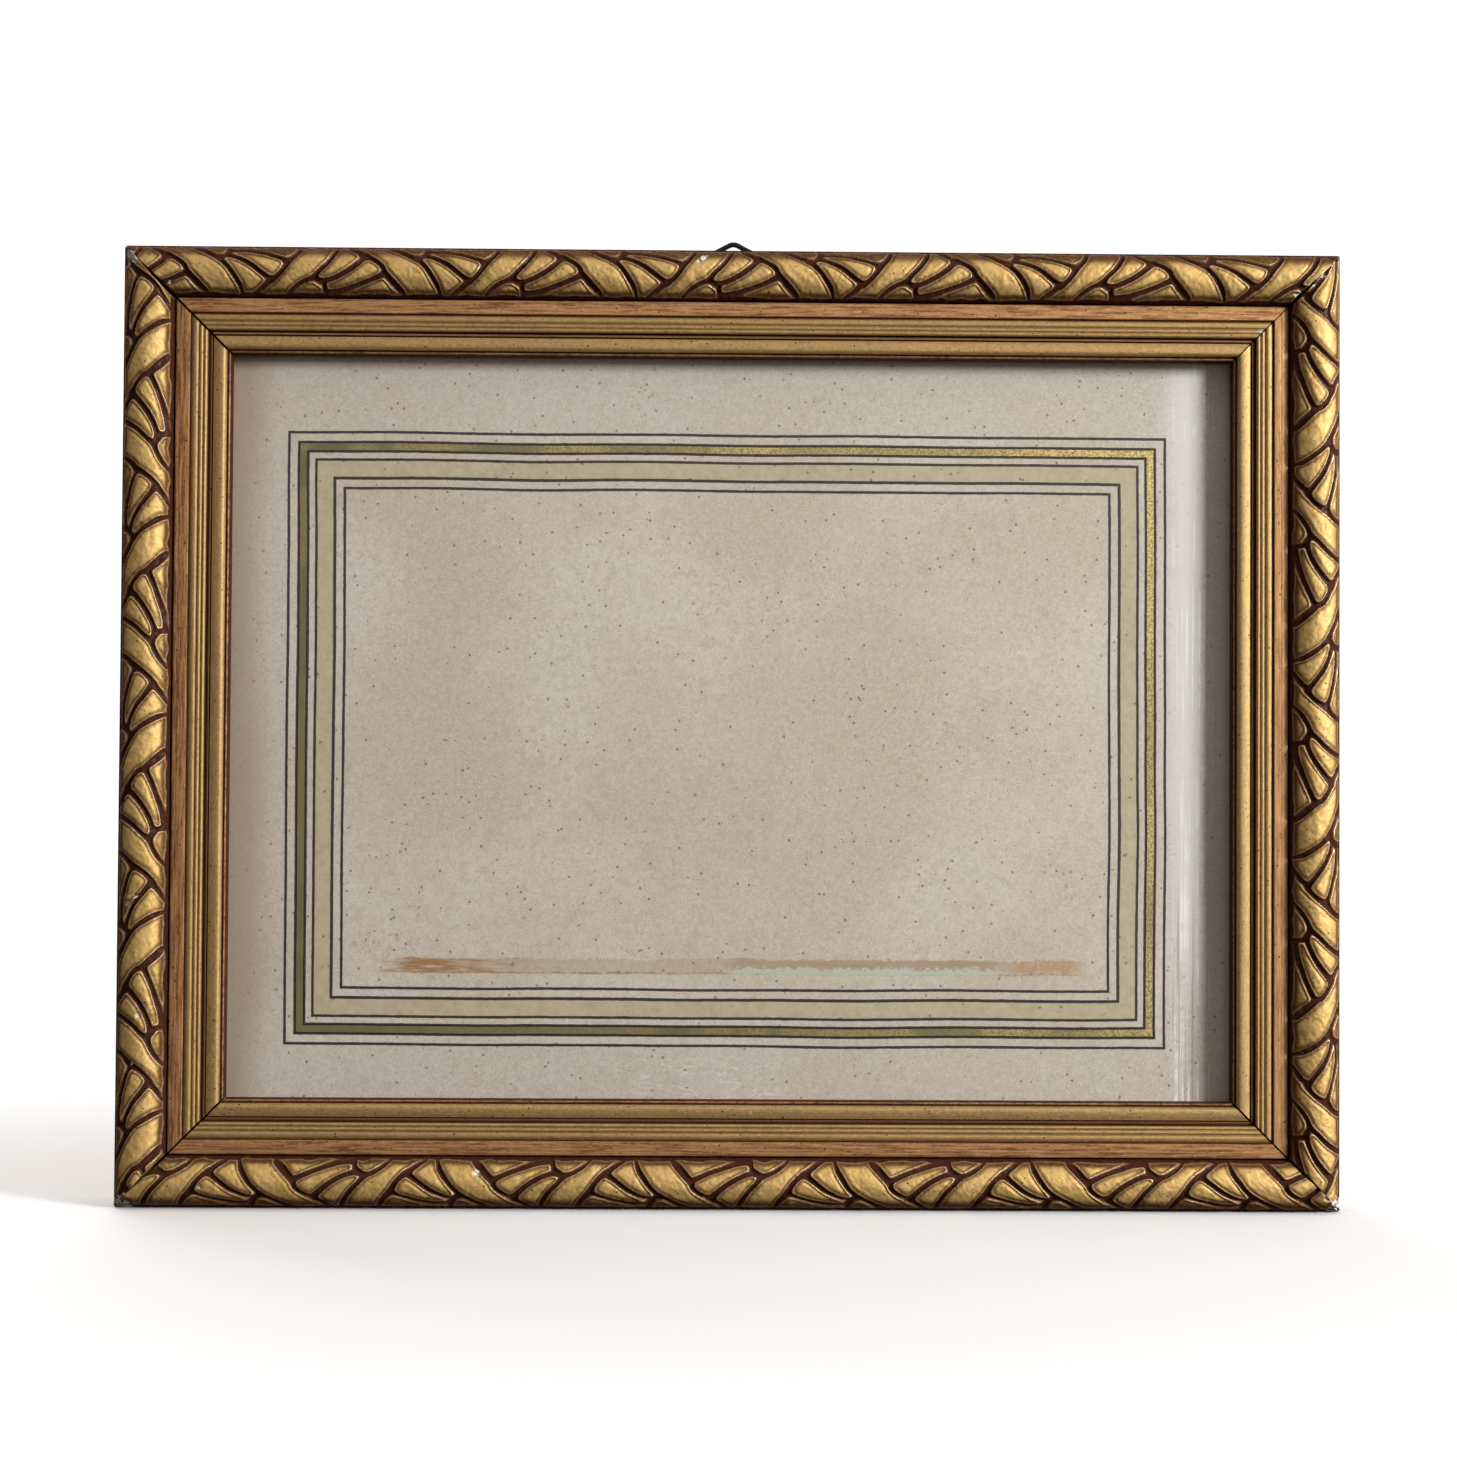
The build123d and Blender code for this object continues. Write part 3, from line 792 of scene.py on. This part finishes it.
def pulp_specks(look, at, paper):
    """Brown specks and short fibres in the pulp, and a few spots of foxing."""
    place, x, z = at.place, at.x, at.z
    speck = look.specks(place, 0.36).step(0.14, 0.08) * look.noise(place, 0.11).step(0.34, 0.44)
    dust = look.specks(place, 0.75).step(0.17, 0.08) * look.noise(place, 0.3).step(0.45, 0.53)
    hair = look.specks(place, 0.42, stretch=(0.35, 1.0, 1.0)).step(0.06, 0.02)
    marks = (speck * 0.7 + dust * 0.45 + hair * 0.4).clamp()
    paper = look.mix(marks, paper, (0.13, 0.075, 0.045))
    fox = squared_distance(x, z, 119.0, 34.0).step(22.0, 4.0)
    fox = fox * look.specks(place, 0.8).step(0.34, 0.2)
    return look.mix(fox * 0.6, paper, (0.33, 0.20, 0.10))


def glue_stain(look, at, paper):
    """The glue line that once held a work: rust at its left end, skinned further on."""
    place, x, z, crumbs = at.place, at.x, at.z, at.crumbs
    streaks = look.noise(place, 0.50, 3.0, 0.6, stretch=(0.14, 1.0, 1.0))
    ragged = (streaks - 0.5) * 2.2 + (crumbs - 0.5) * 1.6
    stain_top = (z + ragged).step(STAIN_TOP, STAIN_TOP + 0.4)
    stain_foot = (z + ragged * 0.6).step(STAIN_FOOT + 0.1, STAIN_FOOT - 0.25)
    ends = (x + streaks * 14.0).step(STAIN_LEFT + 1, STAIN_LEFT + 12)
    ends = ends * (x + crumbs * 6.0).step(STAIN_RIGHT + 6, STAIN_RIGHT)
    in_stain = stain_top * stain_foot * ends
    combed = look.noise(place, 1.5, 3.0, 0.6, stretch=(0.10, 1.0, 1.0))
    rust = x.step(102.0, 74.0) * streaks.step(0.30, 0.56) * combed.step(0.34, 0.56)
    tail = x.step(203.0, 208.0) * crumbs.step(0.36, 0.54)
    tail = tail * z.step(STAIN_FOOT - 0.4, STAIN_FOOT - 1.0)
    paper = look.mix(in_stain * 0.34, paper, (0.36, 0.25, 0.155))
    paper = look.mix(in_stain * rust * 0.95, paper, (0.34, 0.165, 0.06))
    paper = look.mix(in_stain * tail * 0.8, paper, (0.45, 0.29, 0.14))
    line = (z + ragged * 0.6 - STAIN_FOOT + 0.25).abs().step(0.32, 0.08) * ends
    paper = look.mix(line * crumbs.step(0.38, 0.55) * 0.6, paper, (0.22, 0.13, 0.07))
    rubbed = (x + crumbs * 8.0).step(141.0, 147.0) * (x + crumbs * 8.0).step(210.0, 203.0)
    torn = (z + (crumbs - 0.5) * 5.0).step(STAIN_TOP + 2.5, STAIN_TOP + 1.9)
    skinned = look.mix(torn, (0.50, 0.535, 0.465), (0.39, 0.305, 0.215))
    skinned = look.mix(torn * combed.step(0.50, 0.62) * 0.5, skinned, (0.30, 0.22, 0.15))
    paper = look.mix(in_stain * rubbed * 0.85, paper, skinned)
    spill = (x - 60.0) * (x - 60.0) * 0.02 + (z - 160.0) * (z - 160.0) * 0.10
    spill = spill.step(1.6, 0.4) * crumbs.step(0.55, 0.62)
    return look.mix(spill * 0.7, paper, (0.36, 0.20, 0.09))


def margin_marks(look, at, paper):
    """Pale upright scuffs and a painted window reflection in the right margin, a brown band darker
    towards the left edge, and a crease and some drips between them."""
    place, x, z = at.place, at.x, at.z
    upright = look.noise(place, 2.2, 2.0, 0.55, stretch=(1.0, 1.0, 0.009))
    broken = look.noise(place, 0.16, 3.0, 0.6).step(0.36, 0.60)
    scuff = x.step(241.5, 244.0) * x.step(254.0, 248.0) * upright.step(0.56, 0.61) * broken
    crease = look.noise(place, 0.35, 2.0, 0.5, stretch=(0.3, 1.0, 1.0))
    crease = (crease - 0.5).abs().step(0.016, 0.004) * x.step(108.0, 118.0)
    crease = crease * x.step(158.0, 146.0) * z.step(184.5, 187.0)
    paper = look.mix(crease * 0.5, paper, (0.74, 0.71, 0.66))
    # Painted reflection of a window in the glass: a pale cool haze over the upper right margin,
    # stopping where the lip's shadow begins.
    painted_glass_reflection = (x + at.cloud * 6.0).step(240.0, 249.0) * (x + at.mottle * 2.0).step(251.5, 249.5)
    paper = look.mix(painted_glass_reflection * z.step(185.0, 150.0) * 0.7, paper, (0.735, 0.735, 0.725))
    paper = look.mix(scuff * 0.8, paper, (0.86, 0.85, 0.83))
    trickle = upright.step(0.43, 0.37) * x.step(241.0, 243.0) * x.step(251.0, 247.0)
    paper = look.mix(trickle * z.step(140.0, 160.0) * 0.5, paper, (0.27, 0.20, 0.145))
    # A brown band, darker towards the left edge.
    left_band = (x + at.cloud * 8.0).step(40.0, 30.0)
    paper = look.mix(left_band * 0.75, paper, (0.36, 0.27, 0.205))
    drips = look.specks(place, 0.5).step(0.30, 0.16)
    drips = drips * squared_distance(x, z, 217.0, 142.0).step(40.0, 12.0)
    return look.mix(drips * 0.55, paper, (0.30, 0.21, 0.13))


def gold_strip(look, at, glitter):
    """The strip's colour, bright at the upper right and darker towards the lower left as painted
    shade, with tarnish.
    """
    tarnish = look.noise(at.place, 0.06, 2.0)
    gold = look.mix(glitter.step(0.40, 0.58), (0.25, 0.19, 0.072), (0.86, 0.685, 0.26))
    # Random tarnish, and painted shade growing towards the lower left, away from the light.
    tarnish_and_shade = tarnish.step(0.46, 0.62) * 0.3 + (at.x - at.z * 0.7).step(235.0, -60.0) * 0.92
    return look.mix(tarnish_and_shade.clamp(), gold, (0.17, 0.135, 0.068))


def ink_rules(look, at):
    """How much ink lies at each place, from the six ruled lines."""
    pressure = look.noise(at.place, 0.35, 2.0) * 0.12 - 0.06
    ink = None
    for offset, half in RULES:
        line = ((at.inset - offset).abs() - pressure).step(half + 0.03, half - 0.05)
        ink = line if ink is None else ink.max(line)
    return ink


def card_look():
    """Aged mount card with ink rules, a gold strip, a wash band, glue stain and foxing."""
    look = Look("ruled_card")
    at = card_places(look)
    colour = paper_colour(look, at)
    colour = pulp_specks(look, at, colour)
    colour = glue_stain(look, at, colour)
    colour = margin_marks(look, at, colour)
    glitter = look.noise(at.place, 1.9, 4.0, 0.75)
    in_gold = at.inset.step(GOLD_STRIP[0], GOLD_STRIP[0] + 0.1)
    in_gold = in_gold * at.inset.step(GOLD_STRIP[1], GOLD_STRIP[1] - 0.1)
    colour = look.mix(in_gold, colour, gold_strip(look, at, glitter))
    ink = ink_rules(look, at)
    colour = look.mix(ink * 0.98, colour, (0.008, 0.005, 0.007))
    look.bump(at.fibre * 0.6 + at.mottle * 0.4 + in_gold * glitter * 0.5, 0.05, 0.55)
    return look.set(base_color=colour, roughness=0.86 - in_gold * 0.4 - ink * 0.2,
                    metallic=in_gold * glitter.step(0.4, 0.6) * 0.25)


def glass_look():
    """Thin old window glass: clear, with a weak mirror and faint smears."""
    look = Look("window_glass")
    tree = look.tree
    place = look.object_place()
    clear = tree.nodes.new("ShaderNodeBsdfTransparent")
    clear.inputs["Color"].default_value = (0.985, 0.992, 0.987, 1)
    slant = tree.nodes.new("ShaderNodeLayerWeight")
    slant.inputs["Blend"].default_value = 0.5
    facing = Value(tree, slant.outputs["Facing"])
    squared = facing * facing
    mirrored = squared * squared * facing * 0.9 + 0.04
    mixer = tree.nodes.new("ShaderNodeMixShader")
    tree.links.new(mirrored.socket, mixer.inputs[0])
    tree.links.new(clear.outputs[0], mixer.inputs[1])
    tree.links.new(look.shader.outputs[0], mixer.inputs[2])
    tree.links.new(mixer.outputs[0], look.output.inputs[0])
    smear = look.noise(place, 0.05, 4.0, 0.6)
    look.bump(look.noise(place, 0.012, 2.0), 0.6, 0.25)
    return look.set(base_color=(1.0, 1.0, 1.0), metallic=1.0,
                    roughness=0.02 + smear.step(0.45, 0.8) * 0.10)


def hanger_look():
    """Black japanned iron, rubbed brown in patches."""
    look = Look("black_hanger")
    place = look.object_place()
    fine = look.noise(place, 2.2, 4.0, 0.65)
    worn = look.noise(place, 0.5, 3.0, 0.6).step(0.56, 0.7) * fine.step(0.4, 0.6)
    colour = look.mix(worn * 0.6, (0.0045, 0.0042, 0.0042), (0.05, 0.025, 0.013))
    look.bump(fine, 0.04, 0.6)
    return look.set(base_color=colour, metallic=worn * 0.4, roughness=0.28 + fine * 0.22,
                    specular_ior_level=0.3)


def nail_look():
    """Dark steel wire with rust in patches."""
    look = Look("steel_nails")
    place = look.object_place()
    fine = look.noise(place, 3.0, 4.0, 0.65)
    patch = look.noise(place, 0.8, 3.0, 0.6)
    colour = look.mix(patch.step(0.42, 0.6), (0.19, 0.18, 0.175), (0.13, 0.052, 0.022))
    look.bump(fine, 0.06, 0.7)
    return look.set(base_color=colour, metallic=patch.remap(0.42, 0.6, 0.9, 0.25),
                    roughness=0.36 + fine * 0.35)


def packing_look():
    """Grey-brown pulp board."""
    look = Look("packing_card")
    place = look.object_place()
    pulp = look.noise(place, 0.9, 5.0, 0.7)
    cloud = look.noise(place, 0.05, 3.0)
    colour = look.mix(pulp.step(0.3, 0.7), (0.20, 0.135, 0.08), (0.36, 0.26, 0.17))
    colour = look.mix(cloud.step(0.5, 0.7) * 0.4, colour, (0.16, 0.10, 0.06))
    look.bump(pulp, 0.12, 0.8)
    return look.set(base_color=colour, roughness=0.9)


# --- Sheets and boards ---
def build_slab(name, node, pitch, front_sink, back_sink, edge):
    """A closed slab in a node's box whose faces are sunk by functions of x and z in mm.

    Its border is worn back by edge."""
    low, high = (np.array(corner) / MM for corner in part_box(node))

    def stations(a, b):
        inner = np.linspace(a + edge, b - edge, int((b - a) / pitch))
        return np.concatenate(([a], inner, [b]))

    xs, zs = stations(low[0], high[0]), stations(low[2], high[2])
    x, z = (g.ravel() for g in np.meshgrid(xs, zs, indexing="ij"))
    border = (x == low[0]) | (x == high[0]) | (z == low[2]) | (z == high[2])
    front = np.stack((x, low[1] + front_sink(x, z) + edge * border, z), -1)
    back = np.stack((x, high[1] - back_sink(x, z) - edge * border, z), -1)
    nx, nz = len(xs), len(zs)
    index = np.arange(nx * nz).reshape(nx, nz)
    quads = np.stack((index[:-1, :-1], index[1:, :-1], index[1:, 1:], index[:-1, 1:]), -1)
    front_faces = quads.reshape(-1, 4)
    back_faces = front_faces[:, ::-1] + nx * nz
    loop = np.concatenate((index[:-1, 0], index[-1, :-1], index[:0:-1, -1], index[0, :0:-1]))
    after = np.roll(loop, -1)
    sides = np.stack((after, loop, loop + nx * nz, after + nx * nz), -1)
    faces = np.vstack((front_faces, back_faces, sides)).tolist()
    verts = np.vstack((front, back)) * MM
    return add_object(name, verts, faces, sharp_angle=SLAB_SHARP_ANGLE)


def card_cockle(x, z):
    """Damp has bowed the card away from the glass by up to a quarter of a millimetre."""
    wave = value_noise(21, x / 46, z / 38) + 0.4 * value_noise(22, x / 19, z / 17)
    return 0.03 + 0.20 * np.clip(0.5 + 0.5 * wave, 0, 1)


def board_grain(x, z):
    """Saw marks across a thin board, with softer grain along it."""
    saw = 0.05 * (1 + np.sin(x * 1.05 + 0.6 * value_noise(31, x / 30, z / 30)))
    grain = 0.10 * (1 + value_noise(32, x / 26, z / 1.6))
    hollow = 0.12 * (1 + value_noise(33, x / 70, z / 50))
    return 0.4 * saw + grain + hollow


# --- The frame's pieces ---
field = channel_field()
gilt, side_paint = gilt_look(), side_look()
bare_rail = raw_wood_look("bare_wood", (0.40, 0.27, 0.155), (0.21, 0.125, 0.065),
                          (0.07, 1.0, 1.0), vector_name="run")
for rail in RAILS:
    ornament = build_ornament(rail, field)
    for material in (gilt, side_paint):
        ornament.data.materials.append(material)
    moulding = build_rail_body(rail)
    for material in (gilt, bare_rail, side_paint):
        moulding.data.materials.append(material)
    bore_nail_recesses(moulding, rail)
    for piece in (ornament, moulding):
        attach(piece, "frame")
        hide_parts(f"{rail}_rail")

card = build_slab("ruled_card", "mount_card", 2.4, card_cockle, lambda x, z: 0 * x, 0.15)
card.data.materials.append(card_look())
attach(card, "frame")
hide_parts("mount_card")

board = build_slab("sawn_backing_board", "backing_board", 1.0,
                   lambda x, z: 0 * x + 0.02, board_grain, 0.4)
board.data.materials.append(raw_wood_look("board_wood", (0.36, 0.235, 0.125),
                                          (0.19, 0.11, 0.055), (0.05, 1.0, 1.0)))
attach(board, "frame")
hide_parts("backing_board")

NODE_LOOKS = {
    "glass_pane": glass_look(),
    "packing_board": packing_look(),
}
hanger_black, nail_steel = hanger_look(), nail_look()
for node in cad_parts:
    if node.startswith("hanger"):
        NODE_LOOKS[node] = hanger_black
    elif node.startswith(("brads", "mitre_nails")):
        NODE_LOOKS[node] = nail_steel
for node, material in NODE_LOOKS.items():
    cad_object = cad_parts[node]
    for slot in cad_object.material_slots:
        slot.material = material

# --- Stage and lights ---
FLOOR_RADIUS = 0.6
FLOOR_FADE = (60.0 ** 2, 260.0 ** 2)     # squared distances at which the floor fades out
CENTRE = Vector((0.0, BACK_Y, CENTRE_Z)) * MM


def build_floor():
    """A pale disc under the frame that fades into the white surroundings."""
    look = Look("pale_floor")
    place = look.object_place()
    look.set(base_color=look.mix(look.noise(place, 0.004), (0.83, 0.885, 0.93),
                                 (0.86, 0.91, 0.95)), roughness=0.75)
    fade = look.tree.nodes.new("ShaderNodeMixShader")
    open_air = look.tree.nodes.new("ShaderNodeBsdfTransparent")
    x, y, _ = look.split(place)
    away = x * x * 0.35 + y * y
    look.tree.links.new(away.step(*FLOOR_FADE).socket, fade.inputs[0])
    look.tree.links.new(look.shader.outputs[0], fade.inputs[1])
    look.tree.links.new(open_air.outputs[0], fade.inputs[2])
    look.tree.links.new(fade.outputs[0], look.output.inputs[0])
    turns = np.linspace(0, 2 * math.pi, 96, endpoint=False)
    rim = [(FLOOR_RADIUS * math.cos(a), FLOOR_RADIUS * math.sin(a), BOTTOM * MM) for a in turns]
    floor = add_object("floor", rim, [list(range(len(rim)))], smooth=False)
    floor.data.materials.append(look.material)
    # the floor is pale but its bounce is kept off the frame, as it hung well clear of one
    floor.visible_glossy = False
    floor.visible_diffuse = False
    return floor


def add_area_light(name, direction, distance, size, power, colour):
    """A square soft light that faces the frame's middle."""
    light = bpy.data.lights.new(name, "AREA")
    light.shape = "SQUARE"
    light.size = size
    light.energy = power
    light.color = colour
    obj = bpy.data.objects.new(name, light)
    toward = Vector(direction).normalized()
    obj.location = CENTRE + toward * distance
    obj.rotation_euler = toward.to_track_quat("Z", "Y").to_euler()
    bpy.context.scene.collection.objects.link(obj)


def build_world():
    """White to the camera. To the frame, a warm room, brighter behind, above and at the right."""
    world = bpy.data.worlds.new("studio")
    world.use_nodes = True
    sky = world.node_tree
    sky.nodes.clear()
    coords = sky.nodes.new("ShaderNodeTexCoord")
    parts = sky.nodes.new("ShaderNodeSeparateXYZ")
    sky.links.new(coords.outputs["Generated"], parts.inputs[0])
    across, ahead, above = (Value(sky, part) for part in parts.outputs)
    room = ahead.remap(-1.0, 0.3, 0.06, 0.28) + across.remap(-0.5, 0.9, -0.01, 0.22)
    room = room + above.remap(-0.35, 0.45, -0.05, 0.33)
    lighting = sky.nodes.new("ShaderNodeBackground")
    lighting.inputs["Color"].default_value = (1.0, 0.85, 0.75, 1)
    sky.links.new(room.socket, lighting.inputs["Strength"])
    seen = sky.nodes.new("ShaderNodeBackground")
    seen.inputs["Color"].default_value = (1, 1, 1, 1)
    seen.inputs["Strength"].default_value = 1.05
    ray = sky.nodes.new("ShaderNodeLightPath")
    choose = sky.nodes.new("ShaderNodeMixShader")
    sky.links.new(ray.outputs["Is Camera Ray"], choose.inputs[0])
    sky.links.new(lighting.outputs[0], choose.inputs[1])
    sky.links.new(seen.outputs[0], choose.inputs[2])
    sky_out = sky.nodes.new("ShaderNodeOutputWorld")
    sky.links.new(choose.outputs[0], sky_out.inputs[0])
    bpy.context.scene.world = world


floor = build_floor()
add_area_light("window_key", direction=(1.36, -1.0, 0.48), distance=1.5, size=0.38,
               power=29.5, colour=(1.0, 0.985, 0.975))
add_area_light("top_fill", direction=(-0.25, -0.55, 1.3), distance=1.6, size=1.2,
               power=2.5, colour=(0.95, 0.97, 1.0))
add_area_light("back_fill", direction=(-0.5, 1.2, 0.8), distance=1.6, size=1.4,
               power=14.0, colour=(1.0, 0.98, 0.95))
build_world()

# --- The camera, at its place in millimetres and turned in radians ---
CAMERA_PLACE = (-7.9, -601.4, -128.0)
CAMERA_TURN = (1.5947, -0.0061, -0.0125)
CAMERA_LENS = 63.25
SENSOR_WIDTH = 36.0
camera_data = bpy.data.cameras.new("camera")
camera_data.lens = CAMERA_LENS
camera_data.sensor_width = SENSOR_WIDTH
camera_data.clip_start = 0.01
camera = bpy.data.objects.new("camera", camera_data)
camera.location = Vector(CAMERA_PLACE) * MM
camera.rotation_euler = Euler(CAMERA_TURN)
bpy.context.scene.collection.objects.link(camera)
bpy.context.scene.camera = camera
bpy.context.scene.view_settings.view_transform = "Standard"
